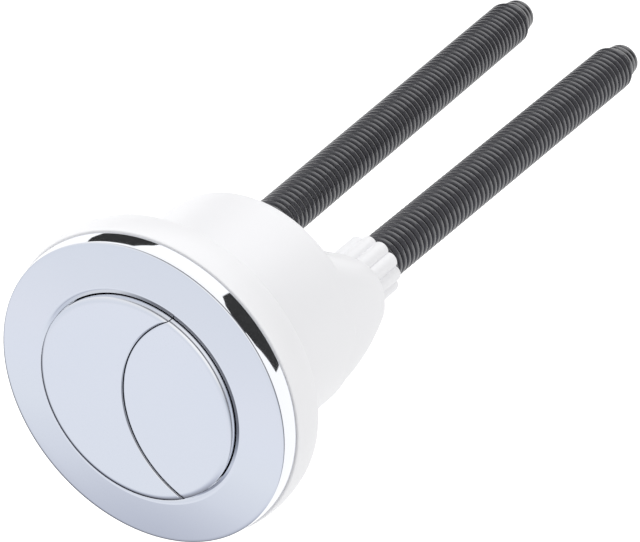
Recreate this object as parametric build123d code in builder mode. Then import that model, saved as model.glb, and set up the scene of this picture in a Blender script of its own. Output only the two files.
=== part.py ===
from build123d import *
import os
from math import copysign, cos, pi, radians, sin

os.makedirs("parts", exist_ok=True)

# Push button actuator for a dual-flush cistern, in millimetres.
# The flange rests on the cistern lid at z = 0, the chrome face looks up along +Z, and the body and
# the two threaded rods hang down through the hole in the lid. The full-flush side is at -X.

# Chrome bezel ring
opening_radius = 20.5
bezel_radius = 30.3
bezel_depth = 4.1
bezel_crown = 1.1
bezel_mid_drop = 0.35
bezel_edge_round = 0.9
bezel_bore_round = 0.4
bezel_lip = 2.5
bezel_wall = 1.6
bezel_fit = 0.2

# White housing with its flange and sleeve, and the base with two towers that guide the plungers
flange_height = 7.3
flange_overhang = 0.7
flange_barrel = 0.3
flange_rear_inset = 0.6
flange_edge_round = 0.7
flange_floor = 1.8
flange_rim = 1.0
inner_wall = 1.5
body_length = 26.0
body_wall = 1.75
body_floor = 2.0
body_edge_round = 1.2
tower_height = 11.0
tower_root = 4.0
tower_root_inset = 0.1
tower_root_reach = 2.3
tower_root_half_width = 17.2
tower_root_fullness = 2.0
tower_waist_inset = 0.2
tower_waist_reach = -1.2
tower_waist_half_width = 12.1
tower_waist_fullness = 2.8
tower_rim_inset = 0.9
tower_rim_reach = -4.7
tower_rim_half_width = 7.6
tower_rim_fullness = 2.3
oval_points = 32
rod_inset = 7.7

# Chrome half buttons, parted by an arc that bulges into the full-flush side
split_radius = 20.4
split_reach = 2.45
button_gap = 0.5
button_fit = 0.3
button_edge_round = 0.9
button_lip = 1.0
button_lip_height = 1.4
button_skirt = 2.3
button_wall = 1.3
button_top = 1.5
full_button_proud = 2.0
half_button_proud = 1.7
travel = 6.5
stop_clearance = 0.2
landing_clearance = 0.3
cavity_clearance = 0.4
post_radius = 5.0
post_fit = 0.1

# White plungers with a lobed lower end
head_gap = 1.0
head_thickness = 2.0
spigot_radius = 3.1
spigot_height = 5.5
stem_length = 48.8
lobe_count = 12
lobe_radius = 1.65
lobe_ring_radius = 4.85
lobe_core = 5.6
lobed_length = 17.8
guide_clearance = 0.3

# Steel return springs
spring_wire = 0.8
wire_sides = 6
spring_turns = 7
spring_seat = 0.05
spring_clearance = 0.3
spring_inner_clearance = 0.4
pocket_depth = 4.0
coil_steps = 18

# Dark threaded rods, kept at the thread's outer diameter
rod_radius = 4.7
rod_length = 130.0
rod_tip_radius = 2.8
rod_tip_length = 5.3
rod_lean = 1.13
rod_fit = 0.15
rod_blind_end = 1.5
rod_turn_in = 8.0
full_rod_out = 106.5
half_rod_out = 97.0

# Heights and radii that follow from the values above
opening_z = flange_height + bezel_depth
ring_under_z = opening_z - bezel_lip
bezel_bore = bezel_radius - bezel_wall
flange_radius = bezel_radius + flange_overhang
rim_outer = bezel_bore - bezel_fit

lip_top_z = ring_under_z - stop_clearance
lip_bottom_z = lip_top_z - button_lip_height
skirt_bottom_z = lip_bottom_z - button_skirt
head_top_z = skirt_bottom_z - head_gap
head_bottom_z = head_top_z - head_thickness
stem_end_z = head_bottom_z - stem_length
shoulder_z = lip_bottom_z - travel - landing_clearance

rod_offset = opening_radius - rod_inset
lobe_tip = lobe_ring_radius + lobe_radius
guide_bore = lobe_tip + guide_clearance
stem_radius = lobe_tip - guide_clearance / 2
spring_radius = stem_radius + spring_inner_clearance + spring_wire / 2
spring_outer = spring_radius + spring_wire / 2
pocket_radius = spring_outer + spring_clearance
head_radius = spring_outer
body_bore = rod_offset + pocket_radius + spring_clearance
body_radius = body_bore + body_wall

floor_z = body_floor - body_length
pocket_z = -body_length - pocket_depth
tower_z = -body_length - tower_height

split_centre = split_radius - split_reach
button_radius = opening_radius - button_fit
lip_radius = opening_radius + button_lip
cavity_radius = lip_radius + cavity_clearance
CUT_PAST = 1.0


# Outlines shared by several pieces

def half_outline(outer_radius, side):
    """One button's outline in the open sketch: the crescent at -X or the lens at +X."""
    Circle(outer_radius)
    with Locations((split_centre, 0)):
        if side < 0:
            Circle(split_radius + button_gap / 2, mode=Mode.SUBTRACT)
        else:
            Circle(split_radius - button_gap / 2, mode=Mode.INTERSECT)


def oval(outer, reach, half_width, fullness, side):
    """A closed curve from x = -reach to x = outer: an ellipse at fullness 2, squarer above it."""
    points = []
    for step in range(oval_points):
        along, across = cos(2 * pi * step / oval_points), sin(2 * pi * step / oval_points)
        x = (outer - reach) / 2 + (outer + reach) / 2 * copysign(abs(along) ** (2 / fullness), along)
        points.append((side * x, half_width * copysign(abs(across) ** (2 / fullness), across)))
    Spline(*points, periodic=True)


def rounding(edge_radius, top_z, inward):
    """The sliver beyond a quarter round at a top edge, as a closed line; inward is 1 or -1."""
    crest = edge_radius - inward * button_edge_round
    past = edge_radius + inward * CUT_PAST
    foot_z = top_z - button_edge_round
    middle = button_edge_round * (1 - cos(pi / 4))
    ThreePointArc((edge_radius, foot_z), (edge_radius - inward * middle, top_z - middle), (crest, top_z))
    Polyline((crest, top_z), (crest, top_z + CUT_PAST), (past, top_z + CUT_PAST), (past, foot_z),
             (edge_radius, foot_z))


# Chrome ring: gently crowned face, rounded outer edge, hollow underneath
with BuildPart() as bezel_ring:
    face_edge = bezel_radius - bezel_edge_round
    face_edge_z = opening_z - bezel_crown
    bore_edge = opening_radius + bezel_bore_round
    bore_sag = bezel_bore_round * (1 - cos(pi / 4))
    edge_sag = bezel_edge_round * (1 - cos(pi / 4))
    face_middle = (bore_edge + face_edge) / 2
    face_middle_z = opening_z - bezel_mid_drop
    with BuildSketch(Plane.XZ):
        with BuildLine():
            Line((opening_radius, ring_under_z), (opening_radius, opening_z - bezel_bore_round))
            ThreePointArc((opening_radius, opening_z - bezel_bore_round),
                          (opening_radius + bore_sag, opening_z - bore_sag), (bore_edge, opening_z))
            ThreePointArc((bore_edge, opening_z), (face_middle, face_middle_z), (face_edge, face_edge_z))
            ThreePointArc((face_edge, face_edge_z),
                          (bezel_radius - edge_sag, face_edge_z - edge_sag),
                          (bezel_radius, face_edge_z - bezel_edge_round))
            Polyline((bezel_radius, face_edge_z - bezel_edge_round), (bezel_radius, flange_height),
                     (bezel_bore, flange_height), (bezel_bore, ring_under_z),
                     (opening_radius, ring_under_z))
        make_face()
    revolve(axis=Axis.Z)
bezel_ring.part.label = "bezel_ring"
export_step(bezel_ring.part, "parts/bezel_ring.step")


# White housing: a flange and an open sleeve
with BuildPart() as housing:
    flange_rear = flange_radius - flange_rear_inset
    groove_inner = cavity_radius + inner_wall
    groove_outer = rim_outer - flange_rim
    with BuildSketch(Plane.XZ):
        with BuildLine():
            Polyline((body_radius, floor_z), (body_bore, floor_z), (body_bore, shoulder_z),
                     (cavity_radius, shoulder_z), (cavity_radius, ring_under_z),
                     (groove_inner, ring_under_z), (groove_inner, flange_floor),
                     (groove_outer, flange_floor), (groove_outer, ring_under_z),
                     (rim_outer, ring_under_z), (rim_outer, flange_height),
                     (flange_radius - flange_barrel, flange_height))
            ThreePointArc((flange_radius - flange_barrel, flange_height),
                          (flange_radius, flange_height / 2), (flange_rear, flange_edge_round))
            Polyline((flange_rear, flange_edge_round), (flange_rear - flange_edge_round, 0),
                     (body_radius, 0), (body_radius, floor_z))
        make_face()
    revolve(axis=Axis.Z)
housing.part.label = "housing"
export_step(housing.part, "parts/housing.step")


# White base that closes the sleeve: a floor with two flared towers, which guide the plungers
with BuildPart() as tower_base:
    with BuildSketch(Plane.XZ):
        with BuildLine():
            Polyline((0, -body_length), (0, floor_z), (body_radius, floor_z),
                     (body_radius, body_edge_round - body_length),
                     (body_radius - body_edge_round, -body_length), (0, -body_length))
        make_face()
    revolve(axis=Axis.Z)

    tower_top_z = tower_root - body_length
    tower_sections = (
        (tower_top_z, tower_root_inset, tower_root_reach, tower_root_half_width, tower_root_fullness),
        ((tower_top_z + tower_z) / 2, tower_waist_inset, tower_waist_reach, tower_waist_half_width,
         tower_waist_fullness),
        (tower_z, tower_rim_inset, tower_rim_reach, tower_rim_half_width, tower_rim_fullness))
    for side in (-1, 1):
        for section_z, inset, reach, half_width, fullness in tower_sections:
            with BuildSketch(Plane.XY.offset(section_z)):
                with BuildLine():
                    oval(body_radius - inset, reach, half_width, fullness, side)
                make_face()
        loft()

    with BuildSketch(Plane.XY.offset(floor_z)):
        Circle(body_radius + CUT_PAST)
    extrude(amount=tower_root, mode=Mode.SUBTRACT)
    with BuildSketch(Plane.XY.offset(pocket_z)):
        with Locations((-rod_offset, 0), (rod_offset, 0)):
            Circle(pocket_radius)
    extrude(amount=floor_z - pocket_z, mode=Mode.SUBTRACT)
    with BuildSketch(Plane.XY.offset(tower_z)):
        with Locations((-rod_offset, 0), (rod_offset, 0)):
            Circle(guide_bore)
    extrude(amount=pocket_z - tower_z, mode=Mode.SUBTRACT)
tower_base.part.label = "tower_base"
export_step(tower_base.part, "parts/tower_base.step")


# Each flush has a button, a plunger that carries it, a return spring and a threaded rod
flushes = (("full_flush", -1, full_button_proud, full_rod_out),
           ("half_flush", 1, half_button_proud, half_rod_out))

for flush, side, proud, rod_out in flushes:
    rod_x = side * rod_offset
    top_z = opening_z + proud
    ceiling_z = top_z - button_top
    split_edge = split_radius - side * button_gap / 2

    # Chrome button: rounded top edge, hollow below, with a stop lip under the bezel and a post
    with BuildPart() as button:
        with BuildSketch(Plane.XY.offset(skirt_bottom_z)):
            half_outline(button_radius, side)
        extrude(amount=top_z - skirt_bottom_z)
        with BuildSketch(Plane.XZ):
            with BuildLine():
                rounding(button_radius, top_z, 1)
            make_face()
        revolve(axis=Axis.Z, mode=Mode.SUBTRACT)
        with BuildSketch(Plane.XZ.shift_origin((split_centre, 0, 0))):
            with BuildLine():
                rounding(split_edge, top_z, side)
            make_face()
        revolve(axis=Axis((split_centre, 0, 0), (0, 0, 1)), mode=Mode.SUBTRACT)
        with BuildSketch(Plane.XY.offset(lip_bottom_z)):
            half_outline(lip_radius, side)
        extrude(amount=button_lip_height)
        with BuildSketch(Plane.XY.offset(skirt_bottom_z)):
            half_outline(button_radius, side)
            offset(amount=-button_wall, mode=Mode.REPLACE)
        extrude(amount=ceiling_z - skirt_bottom_z, mode=Mode.SUBTRACT)
        with BuildSketch(Plane.XY.offset(head_top_z)):
            with Locations((rod_x, 0)):
                Circle(post_radius)
        extrude(amount=ceiling_z - head_top_z)
        with BuildSketch(Plane.XY.offset(head_top_z)):
            with Locations((rod_x, 0)):
                Circle(spigot_radius + post_fit)
        extrude(amount=spigot_height + post_fit, mode=Mode.SUBTRACT)
    button.part.label = f"{flush}_button"
    export_step(button.part, f"parts/{flush}_button.step")

    # Plunger: spigot, spring head, round stem and lobed end, bored along the leaning rod
    rod_plane = Plane(origin=(rod_x, 0, stem_end_z), x_dir=(0, 1, 0),
                      z_dir=(side * sin(radians(rod_lean)), 0, -cos(radians(rod_lean))))
    engaged = rod_length - rod_out
    bore_depth = rod_length - half_rod_out + rod_turn_in + rod_blind_end
    with BuildPart() as plunger:
        with BuildSketch(Plane.XY.offset(head_top_z)):
            with Locations((rod_x, 0)):
                Circle(spigot_radius)
        extrude(amount=spigot_height)
        with BuildSketch(Plane.XY.offset(head_bottom_z)):
            with Locations((rod_x, 0)):
                Circle(head_radius)
        extrude(amount=head_thickness)
        with BuildSketch(Plane.XY.offset(stem_end_z + lobed_length)):
            with Locations((rod_x, 0)):
                Circle(stem_radius)
        extrude(amount=stem_length - lobed_length)
        with BuildSketch(Plane.XY.offset(stem_end_z)):
            with Locations((rod_x, 0)):
                Circle(lobe_core)
                with PolarLocations(lobe_ring_radius, lobe_count):
                    Circle(lobe_radius)
        extrude(amount=lobed_length)
        with BuildSketch(rod_plane.offset(CUT_PAST)):
            Circle(rod_radius + rod_fit)
        extrude(amount=-bore_depth - CUT_PAST, mode=Mode.SUBTRACT)
    plunger.part.label = f"{flush}_plunger"
    export_step(plunger.part, f"parts/{flush}_plunger.step")

    # Return spring between the tower's pocket and the plunger's head
    coil_low = pocket_z + spring_wire / 2 + spring_seat
    coil_high = head_bottom_z - spring_wire / 2 - spring_seat
    coil_points = []
    for step in range(spring_turns * coil_steps + 1):
        turn = 2 * pi * step / coil_steps
        rise = (coil_high - coil_low) * step / (spring_turns * coil_steps)
        coil_points.append((rod_x + spring_radius * cos(turn), spring_radius * sin(turn), coil_low + rise))
    with BuildPart() as spring:
        with BuildLine():
            coil = Polyline(*coil_points)
        with BuildSketch(Plane(origin=coil @ 0, z_dir=coil % 0)):
            RegularPolygon(spring_wire / 2, wire_sides)
        sweep(transition=Transition.RIGHT)
    spring.part.label = f"{flush}_spring"
    export_step(spring.part, f"parts/{flush}_spring.step")

    # Rod, straight to the taper at its free end
    with BuildPart() as rod:
        with BuildSketch(rod_plane.offset(-engaged)):
            Circle(rod_radius)
        extrude(amount=rod_length - rod_tip_length)
        with BuildSketch(rod_plane.offset(rod_out - rod_tip_length)):
            Circle(rod_radius)
        with BuildSketch(rod_plane.offset(rod_out)):
            Circle(rod_tip_radius)
        loft()
    rod.part.label = f"{flush}_rod"
    export_step(rod.part, f"parts/{flush}_rod.step")
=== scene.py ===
# %% [markdown]
# # A push button for a dual-flush cistern
# The button set drops into a round hole in a cistern lid. A chrome ring and two chrome half buttons show
# above the lid. Below it hang a white housing, two white plungers and two long dark threaded rods that
# press on the flush valve. The CAD frame gives the sizes and the moving bodies. Each piece is modelled
# again here with finer curves, because chrome shows every facet of a coarse mesh.

# %% Load the fixed frame
from math import atan2, copysign, cos, hypot, pi, radians, sin

import bpy
from mathutils import Matrix, Vector


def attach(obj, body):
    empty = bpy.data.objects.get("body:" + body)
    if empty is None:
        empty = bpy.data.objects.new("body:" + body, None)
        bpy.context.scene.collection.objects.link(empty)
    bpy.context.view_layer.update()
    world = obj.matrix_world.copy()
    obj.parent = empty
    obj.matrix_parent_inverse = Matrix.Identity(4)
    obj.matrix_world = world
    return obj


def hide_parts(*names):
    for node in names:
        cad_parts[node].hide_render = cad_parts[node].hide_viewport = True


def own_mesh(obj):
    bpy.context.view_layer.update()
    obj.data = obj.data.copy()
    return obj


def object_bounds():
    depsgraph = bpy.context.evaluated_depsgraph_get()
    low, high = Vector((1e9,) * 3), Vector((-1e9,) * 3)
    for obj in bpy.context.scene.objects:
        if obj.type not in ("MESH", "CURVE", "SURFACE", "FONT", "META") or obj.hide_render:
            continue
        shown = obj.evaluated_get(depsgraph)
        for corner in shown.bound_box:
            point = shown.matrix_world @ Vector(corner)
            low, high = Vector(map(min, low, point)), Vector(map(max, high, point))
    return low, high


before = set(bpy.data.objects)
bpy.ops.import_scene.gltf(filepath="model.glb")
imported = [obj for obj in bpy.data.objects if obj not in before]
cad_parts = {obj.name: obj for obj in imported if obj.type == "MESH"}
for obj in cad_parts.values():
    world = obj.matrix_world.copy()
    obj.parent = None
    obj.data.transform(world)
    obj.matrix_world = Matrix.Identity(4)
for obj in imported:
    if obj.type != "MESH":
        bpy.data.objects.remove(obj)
cad_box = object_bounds()
MM = 0.001
print("CAD nodes:", ", ".join(sorted(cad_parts)))

# %% [markdown]
# ## The camera
# The photograph looks at the chrome face from 43 degrees off its normal, from far away and turned on
# its side. A camera could be placed by eye, but fitting it to the edges of the ring, the opening and the
# rods gives its three axes and its place directly, so they are written here as vectors.

# %% Camera
PHOTO_WIDTH = 640
PHOTO_FOCAL = 3800
SENSOR_WIDTH = 36
camera_right = Vector((0.8483, -0.0580, -0.5263)).normalized()
camera_back = Vector((0.4837, 0.4893, 0.7258))
camera_back = (camera_back - camera_right * camera_back.dot(camera_right)).normalized()
camera_up = camera_back.cross(camera_right)
camera_place = Vector((346.8, 345.6, 471.6)) * MM
bpy.ops.object.camera_add()
camera = bpy.context.object
camera.name = "photo_camera"
camera_axes = Matrix((camera_right, camera_up, camera_back)).transposed().to_4x4()
camera.matrix_world = Matrix.Translation(camera_place) @ camera_axes
camera.data.sensor_fit = "HORIZONTAL"
camera.data.sensor_width = SENSOR_WIDTH
camera.data.lens = SENSOR_WIDTH * PHOTO_FOCAL / PHOTO_WIDTH
bpy.context.scene.camera = camera
print("Camera lens", round(camera.data.lens, 1), "mm")

# %% [markdown]
# ## Tools of the workbench
# Nearly every piece is round, so a lathe is the main tool: one vertex is extruded along half of the
# piece's section and the line is spun about the vertical axis. Cylinders and Boolean modifiers cut what
# isn't round. Edges are chosen by their place, in millimetres, and rounded with a bevel.

# %% Selecting, drawing and spinning
ROUND_STEPS = 192
MERGE_DISTANCE = 0.0005 * MM


def only(piece):
    """Makes one object the whole selection."""
    bpy.ops.object.select_all(action="DESELECT")
    piece.select_set(True)
    bpy.context.view_layer.objects.active = piece


def named(name):
    """Names the new object and moves its place into its mesh."""
    piece = bpy.context.object
    piece.name = name
    piece.data.name = name
    bpy.ops.object.transform_apply(location=True, rotation=True, scale=True)
    return piece


def draw(profile):
    """Extrudes one vertex through (radius, height) points in mm and leaves the line in edit mode."""
    bpy.ops.object.select_all(action="DESELECT")
    bpy.ops.mesh.primitive_plane_add(size=MM)
    bpy.ops.object.mode_set(mode="EDIT")
    bpy.ops.mesh.select_mode(type="VERT")
    bpy.ops.mesh.merge(type="CENTER")
    bpy.ops.transform.translate(value=(profile[0][0] * MM, 0, profile[0][1] * MM))
    for (r0, z0), (r1, z1) in zip(profile, profile[1:]):
        step = ((r1 - r0) * MM, 0, (z1 - z0) * MM)
        bpy.ops.mesh.extrude_vertices_move(TRANSFORM_OT_translate={"value": step})


def close_up():
    """Merges doubled vertices and points the faces outwards, in edit mode, then leaves it."""
    bpy.ops.mesh.select_all(action="SELECT")
    bpy.ops.mesh.remove_doubles(threshold=MERGE_DISTANCE)
    bpy.ops.mesh.normals_make_consistent(inside=False)
    bpy.ops.object.mode_set(mode="OBJECT")


def lathe(name, profile, centre_x=0):
    """Spins a profile about an upright axis at centre_x."""
    draw(profile)
    bpy.ops.mesh.select_all(action="SELECT")
    bpy.ops.mesh.spin(steps=ROUND_STEPS, angle=2 * pi, center=(0, 0, 0), axis=(0, 0, 1))
    close_up()
    bpy.context.object.location.x = centre_x * MM
    return named(name)


print("Round pieces have", ROUND_STEPS, "steps")

# %% [markdown]
# ## Cutting, rounding and smoothing
# A Boolean cut leaves doubled vertices along its seam, so each cut is welded at once. Normals that are
# weighted by the faces' areas keep flats flat beside small bevels, where plain smooth shading would make
# them look like pillows.

# %% Cutting, rounding and smoothing
SMOOTH_ANGLE = radians(32)
WELD_DISTANCE = 0.004 * MM
PLACE_TOLERANCE = 0.02


def cylinder(name, radius, low, high, centre_x=0):
    """A closed cylinder between two heights."""
    bpy.ops.object.select_all(action="DESELECT")
    bpy.ops.mesh.primitive_cylinder_add(vertices=ROUND_STEPS, radius=radius * MM, depth=(high - low) * MM,
                                        location=(centre_x * MM, 0, (low + high) / 2 * MM))
    return named(name)


def combine(piece, tool, operation):
    """Joins, cuts or keeps the overlap of two pieces, throws the tool away and welds the seam."""
    only(piece)
    bpy.ops.object.modifier_add(type="BOOLEAN")
    modifier = piece.modifiers[-1]
    modifier.object = tool
    modifier.operation = operation
    modifier.solver = "EXACT"
    bpy.ops.object.modifier_apply(modifier=modifier.name)
    bpy.data.objects.remove(tool)
    bpy.ops.object.mode_set(mode="EDIT")
    bpy.ops.mesh.select_all(action="SELECT")
    bpy.ops.mesh.remove_doubles(threshold=WELD_DISTANCE)
    bpy.ops.mesh.dissolve_degenerate(threshold=WELD_DISTANCE)
    bpy.ops.object.mode_set(mode="OBJECT")


def round_edges(piece, chosen, width, segments):
    """Bevels each edge whose two ends the test chooses by their place in mm."""
    only(piece)
    bpy.ops.object.mode_set(mode="EDIT")
    bpy.ops.mesh.select_mode(type="EDGE")
    bpy.ops.mesh.select_all(action="DESELECT")
    bpy.ops.object.mode_set(mode="OBJECT")
    vertices = piece.data.vertices
    for edge in piece.data.edges:
        edge.select = all(chosen(vertices[end].co / MM) for end in edge.vertices)
    bpy.ops.object.mode_set(mode="EDIT")
    bpy.ops.mesh.bevel(offset=width * MM, segments=segments, affect="EDGES", clamp_overlap=False)
    bpy.ops.object.mode_set(mode="OBJECT")


def ring_at(radius, height):
    """A test for the circle of that radius and height round the vertical axis."""
    return lambda p: max(abs(hypot(p.x, p.y) - radius), abs(p.z - height)) < PLACE_TOLERANCE


def level_at(height):
    """A test for everything at that height."""
    return lambda p: abs(p.z - height) < PLACE_TOLERANCE


def round_rings(piece, corners):
    """Rounds circles of edges, each given as (radius, height, width of the bevel, its segments)."""
    for radius, height, width, segments in corners:
        round_edges(piece, ring_at(radius, height), width, segments)


def smooth(piece):
    """Shades curves smooth and keeps flats flat, by weighting normals with the faces' areas."""
    only(piece)
    bpy.ops.object.shade_smooth_by_angle(angle=SMOOTH_ANGLE)
    bpy.ops.object.modifier_add(type="WEIGHTED_NORMAL")
    piece.modifiers[-1].keep_sharp = True
    bpy.ops.object.modifier_apply(modifier=piece.modifiers[-1].name)
    print(piece.name, "has", len(piece.data.polygons), "faces")


print("Curves flatter than", round(SMOOTH_ANGLE, 2), "radians are shaded smooth")

# %% [markdown]
# ## The chrome ring
# The ring is a thin plated cap. A shallow slope leads out of its opening, the face falls away by a
# millimetre to the outer edge, and the rim below that edge is slightly barrel-shaped. A flat face or a
# plain upright rim would mirror one point of the studio all over. These slow curves mirror a sweep of it,
# which is what makes chrome look like chrome. The section is drawn with sharp corners, spun, and its
# corners are then bevelled as rings.

# %% Chrome ring
OPENING_RADIUS = 20.45
RING_RADIUS = 30.3
RING_BORE = 28.7
OPENING_TOP = 11.8
RING_UNDER = 8.9
FLANGE_TOP = 7.3
SLOPE_WIDTH, SLOPE_DEPTH, SLOPE_ROUND = 0.9, 0.35, 0.35
BORE_ROUND, EDGE_ROUND, SKIRT_ROUND = 0.12, 0.14, 0.12
FACE_STEPS = 24
FACE_SLOPE, FACE_CURVE = 0.100, 0.0016
RIM_TILT = radians(12)
BARREL_STEPS = 8
face_start = OPENING_RADIUS + SLOPE_WIDTH


def face_height(radius):
    """Height of the ring's crowned face."""
    reach = radius - face_start
    return OPENING_TOP - FACE_SLOPE * reach - FACE_CURVE * reach ** 2


rim_height = face_height(RING_RADIUS) - FLANGE_TOP
rim_arc = rim_height / sin(RIM_TILT)
rim_top = RING_RADIUS - rim_arc * (1 - cos(RIM_TILT))
ring_section = [(OPENING_RADIUS, RING_UNDER), (OPENING_RADIUS, OPENING_TOP - SLOPE_DEPTH)]
for face_step in range(FACE_STEPS):
    face_radius = face_start + (rim_top - face_start) * face_step / FACE_STEPS
    ring_section.append((face_radius, face_height(face_radius)))
for rim_step in range(BARREL_STEPS + 1):
    rim_lean = RIM_TILT * (1 - rim_step / BARREL_STEPS)
    ring_section.append((RING_RADIUS - rim_arc * (1 - cos(rim_lean)), FLANGE_TOP + rim_arc * sin(rim_lean)))
ring_section += [(RING_BORE, FLANGE_TOP), (RING_BORE, RING_UNDER)]
ring_section.append(ring_section[0])
chrome_ring = lathe("chrome_ring", ring_section)
round_rings(chrome_ring, (
    (rim_top, FLANGE_TOP + rim_height, EDGE_ROUND, 6), (face_start, OPENING_TOP, SLOPE_ROUND, 5),
    (OPENING_RADIUS, OPENING_TOP - SLOPE_DEPTH, BORE_ROUND, 4), (RING_RADIUS, FLANGE_TOP, SKIRT_ROUND, 2)))
smooth(chrome_ring)

# %% [markdown]
# ## The two half buttons
# One disc is parted by an arc into a crescent for the full flush and a lens for the half flush. Cutting
# both from cylinders keeps the gap even. A bevel would tangle at the crescent's sharp horns, so the
# rounded rims are turned with two lathe tools instead, one about each arc's own centre. Each rim is a
# tight corner that runs into a slow roll, as polishing leaves a moulded edge.

# %% Half-button outlines
SPLIT_RADIUS = 20.4
SPLIT_CENTRE = 17.95
SPLIT_GAP = 0.15
BUTTON_RADIUS = 20.3
OUTER_ROLL, SPLIT_ROLL = 3.0, 0.6
ROLL_TILT = radians(22)
CORNER_RADIUS = 0.25
RIM_STEPS = 7
CUT_PAST = 1.0


def half_disc(name, radius, split_radius, side, low, high):
    """The crescent (side -1) or the lens (side 1) of a disc, parted by an arc."""
    disc = cylinder(name, radius, low, high)
    arc = cylinder(name + "_arc", split_radius, low - CUT_PAST, high + CUT_PAST, SPLIT_CENTRE)
    combine(disc, arc, "DIFFERENCE" if side < 0 else "INTERSECT")
    return disc


def rim_section(roll):
    """(inset, drop) points of a rim, from its wall over a tight corner and a slow roll to the flat top."""
    roll_inset = CORNER_RADIUS * (1 - sin(ROLL_TILT)) + roll * sin(ROLL_TILT)
    roll_drop = roll * (1 - cos(ROLL_TILT))
    points = []
    for rim_step in range(RIM_STEPS + 1):
        tilt = pi / 2 + (ROLL_TILT - pi / 2) * rim_step / RIM_STEPS
        corner_drop = CORNER_RADIUS * (cos(ROLL_TILT) - cos(tilt))
        points.append((CORNER_RADIUS * (1 - sin(tilt)), roll_drop + corner_drop))
    for rim_step in range(1, RIM_STEPS + 1):
        tilt = ROLL_TILT * (1 - rim_step / RIM_STEPS)
        points.append((roll_inset - roll * sin(tilt), roll * (1 - cos(tilt))))
    return points


def rim_tool(name, radius, top, outward, centre_x, roll):
    """A turning tool that leaves a rim; outward is 1 for an outer rim and -1 for an inner one."""
    section = [(radius - outward * inset, top - drop) for inset, drop in rim_section(roll)]
    section += [(section[-1][0], top + CUT_PAST), (radius + outward * CUT_PAST, top + CUT_PAST),
                (radius + outward * CUT_PAST, section[0][1]), section[0]]
    return lathe(name, section, centre_x)


print("The gap between the buttons is", SPLIT_GAP, "mm")

# %% [markdown]
# ## Skirts, stop lips and posts
# Under its bright top each button is hollow. A skirt guides it in the opening, a lip catches under the ring
# and ends the way up, and a socketed post sits on the plunger. Discs and cylinders are joined and cut, one
# after the other, because those are the shapes that the cores of a mould leave.

# %% Half buttons with their skirts, stop lips and posts
CRESCENT_TOP, LENS_TOP = 13.0, 12.8
LIP_RADIUS = 21.5
LIP_TOP, LIP_BOTTOM = 8.7, 7.3
LIP_INSET = 0.4
SKIRT_BOTTOM = 5.0
SKIRT_WALL = 1.3
BUTTON_THICKNESS = 1.5
POST_RADIUS = 5.0
SOCKET_RADIUS = 3.2
SOCKET_TOP = 9.6
HEAD_TOP = 4.0
ROD_OFFSET = 12.8


def half_button(name, side, top):
    """One hollow chrome button with its rounded rim, stop lip and socketed post."""
    edge = SPLIT_RADIUS - side * SPLIT_GAP / 2
    inner_edge = edge - side * SKIRT_WALL
    button = half_disc(name, BUTTON_RADIUS, edge, side, SKIRT_BOTTOM, top)
    combine(button, rim_tool(name + "_outer", BUTTON_RADIUS, top, 1, 0, OUTER_ROLL), "DIFFERENCE")
    combine(button, rim_tool(name + "_inner", edge, top, side, SPLIT_CENTRE, SPLIT_ROLL), "DIFFERENCE")
    lip = half_disc(name + "_lip", LIP_RADIUS, edge - side * LIP_INSET, side, LIP_BOTTOM, LIP_TOP)
    combine(button, lip, "UNION")
    hollow = half_disc(name + "_hollow", BUTTON_RADIUS - SKIRT_WALL, inner_edge, side,
                       SKIRT_BOTTOM - CUT_PAST, top - BUTTON_THICKNESS)
    combine(button, hollow, "DIFFERENCE")
    post = cylinder(name + "_post", POST_RADIUS, HEAD_TOP, top - BUTTON_THICKNESS / 2, side * ROD_OFFSET)
    combine(button, post, "UNION")
    socket = cylinder(name + "_socket", SOCKET_RADIUS, HEAD_TOP - CUT_PAST, SOCKET_TOP, side * ROD_OFFSET)
    combine(button, socket, "DIFFERENCE")
    smooth(button)
    return button


crescent_button = half_button("crescent_button", -1, CRESCENT_TOP)
lens_button = half_button("lens_button", 1, LENS_TOP)

# %% [markdown]
# ## The white housing
# The housing is one moulding: a flange with barrel-shaped sides that sits on the lid, a round body that
# passes through the hole, and two flared towers that guide the plungers. It could be grown from one mesh,
# but the round outside is quickest on the lathe. The towers are joined on after it, and the inside is cut
# last, as a mould's cores would leave it.

# %% Housing body
RIM_OUTER = 28.5
FLANGE_RADIUS = 31.0
FLANGE_BARREL = 0.3
FLANGE_REAR = 30.4
BODY_RADIUS = 22.7
BODY_LENGTH = 26.0
REAR_ROUND, TOP_ROUND, BODY_ROUND = 0.7, 0.25, 1.4

flange_side = []
for barrel_step in range(BARREL_STEPS + 1):
    along = barrel_step / BARREL_STEPS
    top_part = (1 - along) * (1 - 2 * along) * (FLANGE_RADIUS - FLANGE_BARREL)
    middle_part = 4 * along * (1 - along) * FLANGE_RADIUS
    rear_part = along * (2 * along - 1) * FLANGE_REAR
    flange_side.append((top_part + middle_part + rear_part, FLANGE_TOP * (1 - along)))
body_section = [(0, RING_UNDER), (RIM_OUTER, RING_UNDER), (RIM_OUTER, FLANGE_TOP), *flange_side,
                (BODY_RADIUS, 0), (BODY_RADIUS, -BODY_LENGTH), (0, -BODY_LENGTH)]
housing = lathe("white_housing", body_section)
round_rings(housing, (
    (FLANGE_REAR, 0, REAR_ROUND, 5), (flange_side[0][0], FLANGE_TOP, TOP_ROUND, 3),
    (BODY_RADIUS, -BODY_LENGTH, BODY_ROUND, 6)))
print("Housing body", [round(side / MM, 1) for side in housing.dimensions], "mm")

# %% [markdown]
# ## The guide towers
# Two towers flare out under the body, wide at the root and narrow at the plunger. Bridging drawn curves
# could make one. Here a disc is extruded in rings, and each ring moves onto a blend of three ovals, which
# gives an even grid of faces that shades smoothly.

# %% Housing towers
TOWER_TOP, TOWER_END = -22.0, -37.0
TOWER_RINGS = 14
TOWER_POINTS = 128
TOWER_ROUND = 0.5
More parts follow.
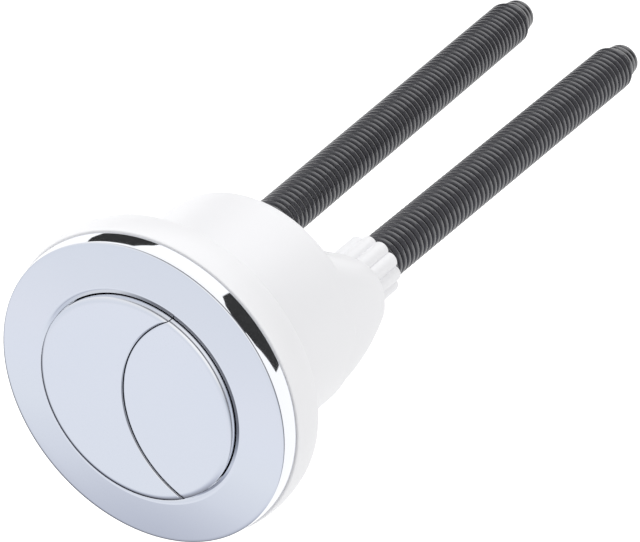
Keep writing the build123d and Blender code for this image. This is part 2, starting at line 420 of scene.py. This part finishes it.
# Root, waist and rim, each from one X to another with a half width along Y. A fullness of 2 is an ellipse.
TOWER_SECTIONS = ((-2.3, 22.6, 17.2, 2.0), (1.2, 22.5, 12.1, 2.8), (4.7, 21.8, 7.6, 2.3))


def oval_point(section, turn):
    """The point of an oval section at an angle round it."""
    inner, outer, half_width, fullness = section
    along, across = cos(turn), sin(turn)
    x = (outer + inner) / 2 + (outer - inner) / 2 * copysign(abs(along) ** (2 / fullness), along)
    return Vector((x, half_width * copysign(abs(across) ** (2 / fullness), across)))


def tower(name, side):
    """Extrudes a disc downwards, ring by ring, and eases the rings through the three oval sections."""
    bpy.ops.object.select_all(action="DESELECT")
    bpy.ops.mesh.primitive_circle_add(vertices=TOWER_POINTS, radius=MM, fill_type="NGON",
                                      location=(0, 0, TOWER_TOP * MM))
    piece = named(name)
    bpy.ops.object.mode_set(mode="EDIT")
    bpy.ops.mesh.select_all(action="SELECT")
    for ring in range(TOWER_RINGS):
        drop = (0, 0, (TOWER_END - TOWER_TOP) / TOWER_RINGS * MM)
        bpy.ops.mesh.extrude_region_move(TRANSFORM_OT_translate={"value": drop})
    bpy.ops.object.mode_set(mode="OBJECT")
    for vertex in piece.data.vertices:
        turn = atan2(vertex.co.y, vertex.co.x)
        along = (vertex.co.z / MM - TOWER_TOP) / (TOWER_END - TOWER_TOP)
        weights = ((1 - along) * (1 - 2 * along), 4 * along * (1 - along), along * (2 * along - 1))
        place = sum((weight * oval_point(section, turn) for weight, section in zip(weights, TOWER_SECTIONS)),
                    Vector((0, 0)))
        vertex.co.x = side * place.x * MM
        vertex.co.y = place.y * MM
    bpy.ops.object.mode_set(mode="EDIT")
    close_up()
    round_edges(piece, level_at(TOWER_END), TOWER_ROUND, 4)
    return piece


for tower_name, tower_side in (("full_flush_tower", -1), ("half_flush_tower", 1)):
    combine(housing, tower(tower_name, tower_side), "UNION")
print("Housing with towers", [round(side / MM, 1) for side in housing.dimensions], "mm")

# %% [markdown]
# ## The inside of the housing
# A cup takes the buttons, a groove thins the wall, two pockets seat the springs and two bores guide the
# plungers. They are cut after the towers are joined on, so that the towers' roots leave nothing in the cup.

# %% Housing cup, groove, pockets and bores
CAVITY_RADIUS = 21.9
SHOULDER = 0.5
CUP_RADIUS = 20.95
CUP_FLOOR = -24.0
GROOVE_INNER, GROOVE_OUTER = 23.4, 27.5
GROOVE_FLOOR = 1.8
POCKET_RADIUS = 7.85
POCKET_FLOOR = -30.0
GUIDE_RADIUS = 6.8

cup_top = RING_UNDER + CUT_PAST
cup_section = [(0, cup_top), (CAVITY_RADIUS, cup_top), (CAVITY_RADIUS, SHOULDER), (CUP_RADIUS, SHOULDER),
               (CUP_RADIUS, CUP_FLOOR), (0, CUP_FLOOR)]
groove_section = [(GROOVE_INNER, cup_top), (GROOVE_OUTER, cup_top), (GROOVE_OUTER, GROOVE_FLOOR),
                  (GROOVE_INNER, GROOVE_FLOOR), (GROOVE_INNER, cup_top)]
combine(housing, lathe("cup", cup_section), "DIFFERENCE")
combine(housing, lathe("groove", groove_section), "DIFFERENCE")
for bore_side in (-1, 1):
    bore_x = bore_side * ROD_OFFSET
    pocket = cylinder("pocket", POCKET_RADIUS, POCKET_FLOOR, CUP_FLOOR + CUT_PAST, bore_x)
    combine(housing, pocket, "DIFFERENCE")
    bore = cylinder("bore", GUIDE_RADIUS, TOWER_END - CUT_PAST, POCKET_FLOOR + CUT_PAST, bore_x)
    combine(housing, bore, "DIFFERENCE")
smooth(housing)

# %% [markdown]
# ## The plungers
# Each plunger carries a button on its spigot, holds the spring under its head and grips the rod in a long
# bore. Only its lobed lower end shows below the tower. One lobe is a vertex spun about the lobe's own
# centre. Spinning copies of that arc and extruding the outline gives all twelve lobes the same roundness.

# %% Plunger
LOBES = 12
LOBE_RADIUS = 1.65
LOBE_CIRCLE = 4.85
LOBE_STEPS = 20
LOBE_ROUND = 0.3
LOBE_TOP, LOBE_END = -29.0, -46.8
STEM_RADIUS = 6.35
HEAD_RADIUS, HEAD_BOTTOM = 7.55, 2.0
SPIGOT_RADIUS, SPIGOT_TOP = 3.1, 9.5
ROD_LEAN = radians(1.13)
BORE_RADIUS = 4.85
BORE_DEPTH = 42.5


def lobed_end(name):
    """The lobed prism, round the vertical axis."""
    half_pitch = pi / LOBES
    aside = LOBE_CIRCLE * sin(half_pitch)
    notch = LOBE_CIRCLE * cos(half_pitch) + (LOBE_RADIUS ** 2 - aside ** 2) ** 0.5
    notch_x, notch_y = notch * cos(half_pitch), notch * sin(half_pitch)
    draw([(notch_x, LOBE_TOP)])
    bpy.ops.transform.translate(value=(0, notch_y * MM, 0))
    bpy.ops.mesh.spin(steps=LOBE_STEPS, angle=2 * atan2(notch_y, notch_x - LOBE_CIRCLE),
                      center=(LOBE_CIRCLE * MM, 0, LOBE_TOP * MM), axis=(0, 0, 1))
    bpy.ops.mesh.select_all(action="SELECT")
    bpy.ops.mesh.spin(steps=LOBES, angle=2 * pi, dupli=True, center=(0, 0, 0), axis=(0, 0, 1))
    bpy.ops.mesh.select_all(action="SELECT")
    bpy.ops.mesh.remove_doubles(threshold=WELD_DISTANCE)
    bpy.ops.mesh.edge_face_add()
    drop = (0, 0, (LOBE_END - LOBE_TOP) * MM)
    bpy.ops.mesh.extrude_region_move(TRANSFORM_OT_translate={"value": drop})
    close_up()
    piece = named(name)
    round_edges(piece, level_at(LOBE_END), LOBE_ROUND, 3)
    return piece


def plunger(name):
    """The half-flush plunger: lathe-turned stem, lobed end and a bore that leans with its rod."""
    stem_section = [(0, SPIGOT_TOP), (SPIGOT_RADIUS, SPIGOT_TOP), (SPIGOT_RADIUS, HEAD_TOP),
                    (HEAD_RADIUS, HEAD_TOP), (HEAD_RADIUS, HEAD_BOTTOM), (STEM_RADIUS, HEAD_BOTTOM),
                    (STEM_RADIUS, LOBE_TOP - CUT_PAST / 2), (0, LOBE_TOP - CUT_PAST / 2)]
    stem = lathe(name, stem_section)
    combine(stem, lobed_end(name + "_lobes"), "UNION")
    only(stem)
    stem.location.x = ROD_OFFSET * MM
    bpy.ops.object.transform_apply(location=True)
    bore = cylinder(name + "_bore", BORE_RADIUS, -CUT_PAST, BORE_DEPTH)
    bore.rotation_euler.y = -ROD_LEAN
    bore.location = (ROD_OFFSET * MM, 0, LOBE_END * MM)
    combine(stem, bore, "DIFFERENCE")
    smooth(stem)
    return stem


def half_turn_copy(piece, name):
    """A copy with its own mesh on the other side of the housing, turned half round."""
    only(piece)
    bpy.ops.object.duplicate()
    bpy.context.object.rotation_euler.z = pi
    return named(name)


half_plunger = plunger("half_flush_lobed_plunger")
full_plunger = half_turn_copy(half_plunger, "full_flush_lobed_plunger")

# %% [markdown]
# ## The return springs
# A coil of steel wire lies between each tower's pocket and its plunger's head. A small circle and a Screw
# modifier give a true helix. The real springs shorten with their buttons; these keep their length.

# %% Return springs
WIRE_RADIUS = 0.4
WIRE_POINTS = 12
COIL_RADIUS = 7.15
COIL_LOW, COIL_HIGH = -29.55, 1.55
COIL_TURNS = 7
COIL_STEPS = 40


def helix(piece, rise, turns, steps):
    """Applies a Screw modifier that climbs by rise mm each turn."""
    only(piece)
    bpy.ops.object.modifier_add(type="SCREW")
    screw = piece.modifiers[-1]
    screw.angle = 2 * pi
    screw.screw_offset = rise * MM
    screw.iterations = turns
    screw.steps = steps
    screw.render_steps = steps
    screw.use_merge_vertices = True
    screw.merge_threshold = MERGE_DISTANCE
    bpy.ops.object.modifier_apply(modifier=screw.name)


def fill_ends():
    """Closes each open end of the mesh in edit mode."""
    bpy.ops.mesh.select_mode(type="EDGE")
    bpy.ops.mesh.select_all(action="DESELECT")
    bpy.ops.mesh.select_non_manifold()
    bpy.ops.mesh.fill_holes(sides=0)


def return_spring(name):
    """A coil round the half-flush plunger with both wire ends closed."""
    bpy.ops.object.select_all(action="DESELECT")
    bpy.ops.mesh.primitive_circle_add(vertices=WIRE_POINTS, radius=WIRE_RADIUS * MM,
                                      location=(COIL_RADIUS * MM, 0, COIL_LOW * MM), rotation=(pi / 2, 0, 0))
    coil = named(name)
    helix(coil, (COIL_HIGH - COIL_LOW) / COIL_TURNS, COIL_TURNS, COIL_STEPS)
    bpy.ops.object.mode_set(mode="EDIT")
    fill_ends()
    close_up()
    coil.location.x = ROD_OFFSET * MM
    only(coil)
    bpy.ops.object.transform_apply(location=True)
    smooth(coil)
    return coil


half_spring = return_spring("half_flush_coil")
full_spring = half_turn_copy(half_spring, "full_flush_coil")

# %% [markdown]
# ## The threaded rods
# The rods are moulded in dark plastic with a fine right-hand thread of 1.5 mm pitch. In the photograph the
# ridges are the rods' whole character, so they are real geometry: the section of one ridge goes through a
# Screw modifier. The ends are cut flat, the last turns step in to a taper with a shallower thread, and a
# small plain nub closes the tip. A vertex attribute remembers how high each point is on its ridge, for the
# finish.

# %% Threaded rod
ROD_RADIUS = 4.7
ROOT_RADIUS = 4.15
ROD_LENGTH = 130.0
TIP_LENGTH = 5.3
STEP_LENGTH = 0.8
TIP_SCALE, STEP_SCALE = 0.72, 0.86
TIP_DEPTH = 0.5
NUB_LENGTH = 0.6
NUB_TAPER = 0.84
THREAD_PITCH = 1.5
THREAD_STEPS = 48
SPARE_TURNS = 2
FACING_DOWN = -0.99
# One ridge, as (share of the thread's depth, share of its pitch).
RIDGE = ((0, 0), (0.35, 0.07), (0.62, 0.15), (0.83, 0.25), (0.95, 0.37), (1, 0.5), (0.95, 0.63), (0.83, 0.75),
         (0.62, 0.85), (0.35, 0.93), (0, 1))


def tip_radius(radius, height):
    """Where a point of the thread lies after the tip, at a height above the rod's free end, is drawn in."""
    step_low = TIP_LENGTH - STEP_LENGTH
    on_step = min(max((height - step_low) / STEP_LENGTH, 0), 1)
    on_taper = min(max((height - NUB_LENGTH) / (step_low - NUB_LENGTH), 0), 1)
    scale = TIP_SCALE + (STEP_SCALE - TIP_SCALE) * on_taper + (1 - STEP_SCALE) * on_step
    depth = TIP_DEPTH + (1 - TIP_DEPTH) * on_step
    return (ROD_RADIUS - (ROD_RADIUS - radius) * depth) * scale


def cut_flat(height, keep_above):
    """Cuts the mesh in edit mode at a height in mm."""
    bpy.ops.mesh.select_all(action="SELECT")
    bpy.ops.mesh.bisect(plane_co=(0, 0, height * MM), plane_no=(0, 0, 1), threshold=MERGE_DISTANCE,
                        clear_inner=keep_above, clear_outer=not keep_above)


def threaded_rod(name):
    """A rod that stands on its tip at the origin."""
    depth = ROD_RADIUS - ROOT_RADIUS
    draw([(ROOT_RADIUS + depth * rise, THREAD_PITCH * (along - SPARE_TURNS)) for rise, along in RIDGE])
    bpy.ops.object.mode_set(mode="OBJECT")
    rod = named(name)
    helix(rod, THREAD_PITCH, int(ROD_LENGTH / THREAD_PITCH) + 2 * SPARE_TURNS, THREAD_STEPS)
    bpy.ops.object.mode_set(mode="EDIT")
    bpy.ops.mesh.select_all(action="SELECT")
    bpy.ops.mesh.remove_doubles(threshold=WELD_DISTANCE)
    cut_flat(NUB_LENGTH, True)
    cut_flat(ROD_LENGTH, False)
    fill_ends()
    bpy.ops.mesh.select_all(action="SELECT")
    bpy.ops.mesh.flip_normals()
    bpy.ops.object.mode_set(mode="OBJECT")
    crest = rod.data.attributes.new("crest", "FLOAT", "POINT")
    for vertex, share in zip(rod.data.vertices, crest.data):
        radius = hypot(vertex.co.x, vertex.co.y) / MM
        share.value = min(max((radius - ROOT_RADIUS) / depth, 0), 1)
        scale = tip_radius(radius, vertex.co.z / MM) / radius
        vertex.co.x *= scale
        vertex.co.y *= scale
    return rod


def close_tip(rod):
    """Extrudes the end face of the taper into a plain nub."""
    only(rod)
    bpy.ops.object.mode_set(mode="EDIT")
    bpy.ops.mesh.select_mode(type="FACE")
    bpy.ops.mesh.select_all(action="DESELECT")
    bpy.ops.object.mode_set(mode="OBJECT")
    for face in rod.data.polygons:
        at_end = face.center.z < (NUB_LENGTH + PLACE_TOLERANCE) * MM
        face.select = at_end and face.normal.z < FACING_DOWN
    bpy.ops.object.mode_set(mode="EDIT")
    bpy.ops.mesh.extrude_region_move(TRANSFORM_OT_translate={"value": (0, 0, -NUB_LENGTH * MM)})
    bpy.ops.transform.resize(value=(NUB_TAPER, NUB_TAPER, 1), center_override=(0, 0, 0))
    bpy.ops.object.mode_set(mode="OBJECT")


rod_pattern = threaded_rod("half_flush_threaded_rod")
close_tip(rod_pattern)
print("Rod", [round(side / MM, 2) for side in rod_pattern.dimensions], "mm")

# %% [markdown]
# ## The rods in their plungers
# The rods splay by about a degree each, and one stands out further than the other. Both are the same
# moulding, so the first is copied with its own mesh, and each is leaned and moved into its plunger.

# %% Rods in their plungers
FULL_ROD_OUT = 106.5
HALF_ROD_OUT = 97.0


def set_rod(rod, side, out):
    """Leans a rod outwards and lets it stand out of the plunger's end."""
    reach = Vector((side * sin(ROD_LEAN), 0, -cos(ROD_LEAN))) * out
    rod.rotation_euler.y = -side * ROD_LEAN
    rod.location = (Vector((side * ROD_OFFSET, 0, LOBE_END)) + reach) * MM
    only(rod)
    bpy.ops.object.transform_apply(location=True, rotation=True)
    smooth(rod)


only(rod_pattern)
bpy.ops.object.duplicate()
full_rod = named("full_flush_threaded_rod")
half_rod = rod_pattern
set_rod(full_rod, -1, FULL_ROD_OUT)
set_rod(half_rod, 1, HALF_ROD_OUT)

# %% [markdown]
# ## Arithmetic for shaders
# A finish is a small sum of noise, masks and colours. Written as node calls it is hard to read, so one
# class wraps a socket and lets Python's own operators add the Math nodes.

# %% Sockets that add, subtract and multiply
class Sock:
    """An output socket that takes part in arithmetic."""

    def __init__(self, tree, output):
        self.tree = tree
        self.output = output

    def put(self, socket, value):
        if isinstance(value, Sock):
            self.tree.links.new(value.output, socket)
        else:
            socket.default_value = value

    def node(self, kind, settings, sockets, out=0):
        """Adds any node: its settings first, then the values or links of its sockets."""
        made = self.tree.nodes.new(kind)
        for name, value in settings.items():
            if name == "stops":
                ramp = made.color_ramp.elements
                while len(ramp) < len(value):
                    ramp.new(1)
                for element, (place, colour) in zip(ramp, value):
                    element.position = place
                    element.color = (*colour, 1)
            else:
                setattr(made, name, value)
        for name, value in sockets.items():
            self.put(made.inputs[name], value)
        return Sock(self.tree, made.outputs[out])

    def reckon(self, operation, first, second):
        return self.node("ShaderNodeMath", {"operation": operation}, {0: first, 1: second})

    def __add__(self, other):
        return self.reckon("ADD", self, other)

    def __sub__(self, other):
        return self.reckon("SUBTRACT", self, other)

    def __rsub__(self, other):
        return self.reckon("SUBTRACT", other, self)

    def __mul__(self, other):
        return self.reckon("MULTIPLY", self, other)

    __radd__ = __add__
    __rmul__ = __mul__

    def between(self, low, high):
        """A colour that goes from low to high as this value goes from 0 to 1."""
        return self.node("ShaderNodeMix", {"data_type": "RGBA"}, {0: self, 6: low, 7: high}, 2)

    def noise(self, scale, detail=3.0):
        """Noise from 0 to 1 at this place."""
        return self.node("ShaderNodeTexNoise", {}, {"Vector": self, "Scale": scale, "Detail": detail})

    def bump(self, strength, distance):
        """A normal from this height."""
        return self.node("ShaderNodeBump", {}, {"Height": self, "Strength": strength, "Distance": distance})


def finish(name, **constants):
    """A material, its shader with constants on the shader's own sockets, and the object's places."""
    material = bpy.data.materials.new(name)
    material.use_nodes = True
    tree = material.node_tree
    shader = tree.nodes["Principled BSDF"]
    for socket, value in constants.items():
        shader.inputs[socket.replace("_", " ")].default_value = value
    place = Sock(tree, tree.nodes.new("ShaderNodeTexCoord").outputs["Object"])
    return material, shader, place


print("Shader sockets are ready")

# %% [markdown]
# ## Chrome plating
# Plating on moulded plastic is a bright mirror, but not an optical one. A metal with one colour would do for
# a small part. Here slow waves in the moulding bend the reflections a little, and wiping leaves the gloss
# uneven, so noise feeds the colour, the roughness and a very weak bump.

# %% Chrome
CHROME_COOL, CHROME_WARM = (0.79, 0.81, 0.85, 1), (0.82, 0.83, 0.86, 1)
chrome, chrome_shader, chrome_place = finish("chrome_plating", Metallic=1.0)
wiped = chrome_place.noise(90.0, 4.0)
cloud = chrome_place.noise(35.0, 2.0)
chrome_place.put(chrome_shader.inputs["Base Color"], cloud.between(CHROME_COOL, CHROME_WARM))
chrome_place.put(chrome_shader.inputs["Roughness"], 0.035 + 0.045 * wiped)
chrome_place.put(chrome_shader.inputs["Normal"], chrome_place.noise(140.0, 1.0).bump(0.06, 0.0001))
print("Finish:", chrome.name)

# %% [markdown]
# ## White moulded plastic
# The housing and the plungers have a soft satin gloss, faint clouds where the plastic flowed and a very
# fine grain from the mould's spark-eroded surface. Flat white would look like paper, so one noise mixes two
# whites and varies the gloss, and a much finer one is the grain.

# %% White plastic
WHITE_THIN, WHITE_THICK = (0.905, 0.905, 0.925, 1), (0.930, 0.930, 0.945, 1)
white, white_shader, white_place = finish("white_moulding", IOR=1.49)
flow = white_place.noise(45.0, 3.0)
grain = white_place.noise(5200.0, 2.0)
white_place.put(white_shader.inputs["Base Color"], flow.between(WHITE_THIN, WHITE_THICK))
white_place.put(white_shader.inputs["Roughness"], 0.34 + 0.12 * flow)
white_place.put(white_shader.inputs["Normal"], grain.bump(0.12, 0.00004))
print("Finish:", white.name)

# %% [markdown]
# ## Dark moulded plastic
# The rods are a glossy, neutral dark grey. The grooves are painted near black as the shade that falls in
# them, and the crests are smoother. A bump could fake the ridges' edges, but the attribute that the thread
# carries follows them exactly, so it mixes two greys, one of them painted groove shade, and two gloss levels.

# %% Dark plastic
# Painted shade: the groove grey is far darker than the crest grey and stands for the shade inside the grooves.
GROOVE_SHADE_GREY, CREST_GREY = (0.004, 0.004, 0.005, 1), (0.060, 0.0595, 0.068, 1)
dark, dark_shader, dark_place = finish("dark_moulding", IOR=1.5, Specular_IOR_Level=1.0)
crest_share = dark_place.node("ShaderNodeAttribute", {"attribute_name": "crest"}, {}, "Fac")
mottle = dark_place.noise(700.0, 4.0)
# Groove to crest mix: painted groove shade, varied by random mottle on the crests.
groove_shade_and_mottle = crest_share * (0.75 + 0.5 * mottle)
dark_place.put(dark_shader.inputs["Base Color"], groove_shade_and_mottle.between(GROOVE_SHADE_GREY, CREST_GREY))
dark_place.put(dark_shader.inputs["Roughness"], 0.26 - 0.08 * crest_share + 0.06 * mottle)
dark_place.put(dark_shader.inputs["Normal"], dark_place.noise(4200.0, 2.0).bump(0.15, 0.00004))
print("Finish:", dark.name)

# %% [markdown]
# ## Spring steel
# Drawn wire is bright steel with fine streaks and a slightly uneven gloss. The springs hardly show, so one
# fine noise does for the colour, the gloss and the bump together.

# %% Spring steel
STEEL_DULL, STEEL_BRIGHT = (0.50, 0.50, 0.50, 1), (0.66, 0.66, 0.65, 1)
steel, steel_shader, steel_place = finish("drawn_spring_wire", Metallic=1.0)
streak = steel_place.noise(1800.0, 3.0)
steel_place.put(steel_shader.inputs["Base Color"], streak.between(STEEL_DULL, STEEL_BRIGHT))
steel_place.put(steel_shader.inputs["Roughness"], 0.22 + 0.14 * streak)
steel_place.put(steel_shader.inputs["Normal"], streak.bump(0.10, 0.00003))
print("Finish:", steel.name)

# %% [markdown]
# ## Bodies, nodes and finishes
# Each piece stands for its CAD node, moves with that node's body and takes its finish. The white housing
# stands for two nodes, which are one moulding on the real object. The springs stay in their pockets and ride
# with the housing, though the real ones shorten as their buttons go down.

# %% Ride, replace and finish
pieces = (
    (chrome_ring, "housing", ("bezel_ring",), chrome, "chrome"),
    (crescent_button, "full_flush_push", ("full_flush_button",), chrome, "chrome"),
    (lens_button, "half_flush_push", ("half_flush_button",), chrome, "chrome"),
    (housing, "housing", ("housing", "tower_base"), white, "white_plastic"),
    (full_plunger, "full_flush_push", ("full_flush_plunger",), white, "white_plastic"),
    (half_plunger, "half_flush_push", ("half_flush_plunger",), white, "white_plastic"),
    (full_spring, "housing", ("full_flush_spring",), steel, "spring_steel"),
    (half_spring, "housing", ("half_flush_spring",), steel, "spring_steel"),
    (full_rod, "full_flush_rod", ("full_flush_rod",), dark, "dark_plastic"),
    (half_rod, "half_flush_rod", ("half_flush_rod",), dark, "dark_plastic"),
)
for piece, body, nodes, material, slot in pieces:
    piece.data.materials.clear()
    piece.data.materials.append(material)
    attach(piece, body)
    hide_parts(*nodes)

for coil, joint, coil_side in ((full_spring, "full_flush_press", -1), (half_spring, "half_flush_press", 1)):
    seat = (coil_side * ROD_OFFSET * MM, 0, POCKET_FLOOR * MM)
    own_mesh(coil)

# %% [markdown]
# ## Floor
# The part hangs in a lid, so it can't stand on a floor. The floor lies 30 cm below the rods: it throws white
# light back up and carries a soft shadow. A little glow, which only the camera and mirrors see, lifts it to
# the white of the photograph's background without more light on the object.

# %% Floor
FLOOR_DROP = 0.30
FLOOR_SIZE = 8.0
CAMERA_GLOW, MIRROR_GLOW = 0.45, 0.36
floor_height = cad_box[0][2] - FLOOR_DROP
bpy.ops.object.select_all(action="DESELECT")
bpy.ops.mesh.primitive_plane_add(size=FLOOR_SIZE, location=(0, 0, floor_height))
floor = named("studio_floor")
paper, paper_shader, paper_place = finish("white_paper", Base_Color=(0.9, 0.9, 0.9, 1), Roughness=0.9,
                                          Emission_Strength=1.0)
paper_paths = paper.node_tree.nodes.new("ShaderNodeLightPath")
paper_seen = [Sock(paper.node_tree, paper_paths.outputs[ray])
              for ray in ("Is Camera Ray", "Is Glossy Ray", "Is Transmission Ray")]
paper_glow = CAMERA_GLOW * paper_seen[0] + MIRROR_GLOW * (paper_seen[1] + paper_seen[2])
paper_place.put(paper_shader.inputs["Emission Color"], paper_glow.between((0, 0, 0, 1), (1, 1, 1, 1)))
floor.data.materials.append(paper)
print("Floor at", round(floor_height, 3), "m")

# %% [markdown]
# ## Light
# White goods and chrome are photographed in a white tent. The world is that tent: it lights evenly, and the
# camera sees it white. A mirror in an even tent looks like grey paint, so mirrors see three soft shades in
# it: one opposite the photographer, one in front, where the room is dark, and one low down. The roof above
# them is bright. All of them are fixed to the room, so they stay in place when the camera moves.

# %% Tent
TENT_LIGHT = 0.91
ROOF_GAIN, ROOF_START = 14.0, 12.9
ROOF_WHITE = (1.15, 1.15, 1.15, 1)
tent = bpy.data.worlds.new("white_tent")
bpy.context.scene.world = tent
tent.use_nodes = True
tent_tree = tent.node_tree
tent_tree.nodes.clear()
tent_way = Sock(tent_tree, tent_tree.nodes.new("ShaderNodeTexCoord").outputs["Generated"])
tent_paths = tent_tree.nodes.new("ShaderNodeLightPath")
to_camera, to_mirror, to_glass = [Sock(tent_tree, tent_paths.outputs[ray])
                                  for ray in ("Is Camera Ray", "Is Glossy Ray", "Is Transmission Ray")]


def tent_shade(way, stops):
    """A shade that changes along one way through the tent: a stop at 1 lies that way and one at 0 opposite."""
    settings = {"operation": "DOT_PRODUCT"}
    share = tent_way.node("ShaderNodeVectorMath", settings, {0: tent_way, 1: way}, "Value")
    return share.node("ShaderNodeValToRGB", {"stops": stops}, {"Fac": share * 0.5 + 0.5})


def tinted(first, second):
    """Two shades multiplied."""
    settings = {"data_type": "RGBA", "blend_type": "MULTIPLY"}
    return first.node("ShaderNodeMix", settings, {0: 1.0, 6: first, 7: second}, 2)


# The far shade's way and most of its stops were fitted to the levels of the chrome face in the photo.
far_shade = tent_shade((-0.330, -0.908, 0.259), (
    (0.60, (0.95, 0.96, 0.98)), (0.80, (0.80, 0.84, 0.92)), (0.842, (0.828, 0.862, 0.937)),
    (0.883, (0.872, 0.897, 0.973)), (0.905, (0.869, 0.903, 0.982)), (0.924, (0.858, 0.895, 0.963)),
    (0.944, (0.777, 0.812, 0.895)), (0.964, (0.585, 0.616, 0.712)), (1.0, (0.25, 0.26, 0.30))))
front_shade = tent_shade((0.866, 0.5, 0), (
    (0.35, (1, 1, 1)), (0.5, (0.55, 0.56, 0.58)), (0.65, (0.26, 0.26, 0.28))))
low_shade = tent_shade((-0.6, -0.6, -0.53), (
    (0.75, (1, 1, 1)), (0.79, (0.6, 0.6, 0.62)), (0.84, (0.08, 0.08, 0.09))))
tent_height = tent_way.node("ShaderNodeSeparateXYZ", {}, {"Vector": tent_way}, "Z")
roof_share = tent_height.node("ShaderNodeClamp", {}, {"Value": tent_height * ROOF_GAIN - ROOF_START})
tent_colour = roof_share.between(tinted(tinted(far_shade, front_shade), low_shade), ROOF_WHITE)
seen_colour = to_camera.between(tent_colour, (1, 1, 1, 1))
seen = tent_way.node("ShaderNodeBackground", {}, {"Color": seen_colour, "Strength": 1.0})
lit = tent_way.node("ShaderNodeBackground", {}, {"Color": (1, 1, 1, 1), "Strength": TENT_LIGHT})
tent_mix = tent_way.node("ShaderNodeMixShader", {}, {0: to_camera + to_mirror + to_glass, 1: lit, 2: seen})
tent_out = tent_tree.nodes.new("ShaderNodeOutputWorld")
tent_tree.links.new(tent_mix.output, tent_out.inputs["Surface"])
print("Tent strength", TENT_LIGHT)

# %% [markdown]
# ## Lamp and dark cards
# One soft lamp from the side shapes the white pieces. It is hidden from mirrors, where it would be a hard
# white square. Two dark cards, which only mirrors see, draw the dark streaks on the ring's rim. In a studio
# such cards are cut to shape until the streak is right, and so their outlines are drawn point by point.

# %% Lamp and dark cards
LAMP_WAY = Vector((-0.25, 0.95, 0.35)).normalized()
LAMP_DISTANCE = 0.9
LAMP_SIZE = 0.30
LAMP_POWER = 1.5
bpy.ops.object.light_add(type="AREA", location=LAMP_WAY * LAMP_DISTANCE)
lamp = bpy.context.object
lamp.name = "side_softbox"
lamp.data.size = LAMP_SIZE
lamp.data.energy = LAMP_POWER
lamp.visible_glossy = False
lamp.rotation_euler = LAMP_WAY.to_track_quat("Z", "Y").to_euler()

CARD_DISTANCE = 0.19
CARD_LOW = -0.44
black_card = finish("black_card", Base_Color=(0.03, 0.03, 0.03, 1), Roughness=0.9)[0]


def dark_card(name, bearing, outline):
    """An upright card, cut to an outline in metres, that faces the object from a bearing."""
    draw([(across / MM, height / MM) for across, height in outline])
    bpy.ops.mesh.select_all(action="SELECT")
    bpy.ops.mesh.edge_face_add()
    bpy.ops.object.mode_set(mode="OBJECT")
    card = bpy.context.object
    card.rotation_euler.z = radians(bearing + 90)
    card.location = (CARD_DISTANCE * cos(radians(bearing)), CARD_DISTANCE * sin(radians(bearing)), 0)
    named(name)
    card.data.materials.append(black_card)
    card.visible_camera = False
    card.visible_diffuse = False
    card.visible_transmission = False
    card.visible_shadow = False


dark_card("right_card", 31, (
    (-0.098, CARD_LOW), (0.098, CARD_LOW), (0.098, -0.100), (0.058, -0.045), (0.052, 0.02), (0.015, 0.02),
    (0.010, -0.045), (-0.098, -0.114)))
dark_card("upper_card", 133.5, (
    (-0.072, CARD_LOW), (0.072, CARD_LOW), (0.072, -0.130), (0.050, -0.086), (-0.050, -0.086),
    (-0.072, -0.130)))
bpy.context.scene.view_settings.view_transform = "Standard"
print("Lamp", LAMP_POWER, "W, two dark cards")

# %% [markdown]
# ## The end
# The CAD box read at the start only sets the floor's height.

# %% End of the scene
print("The scene is built")
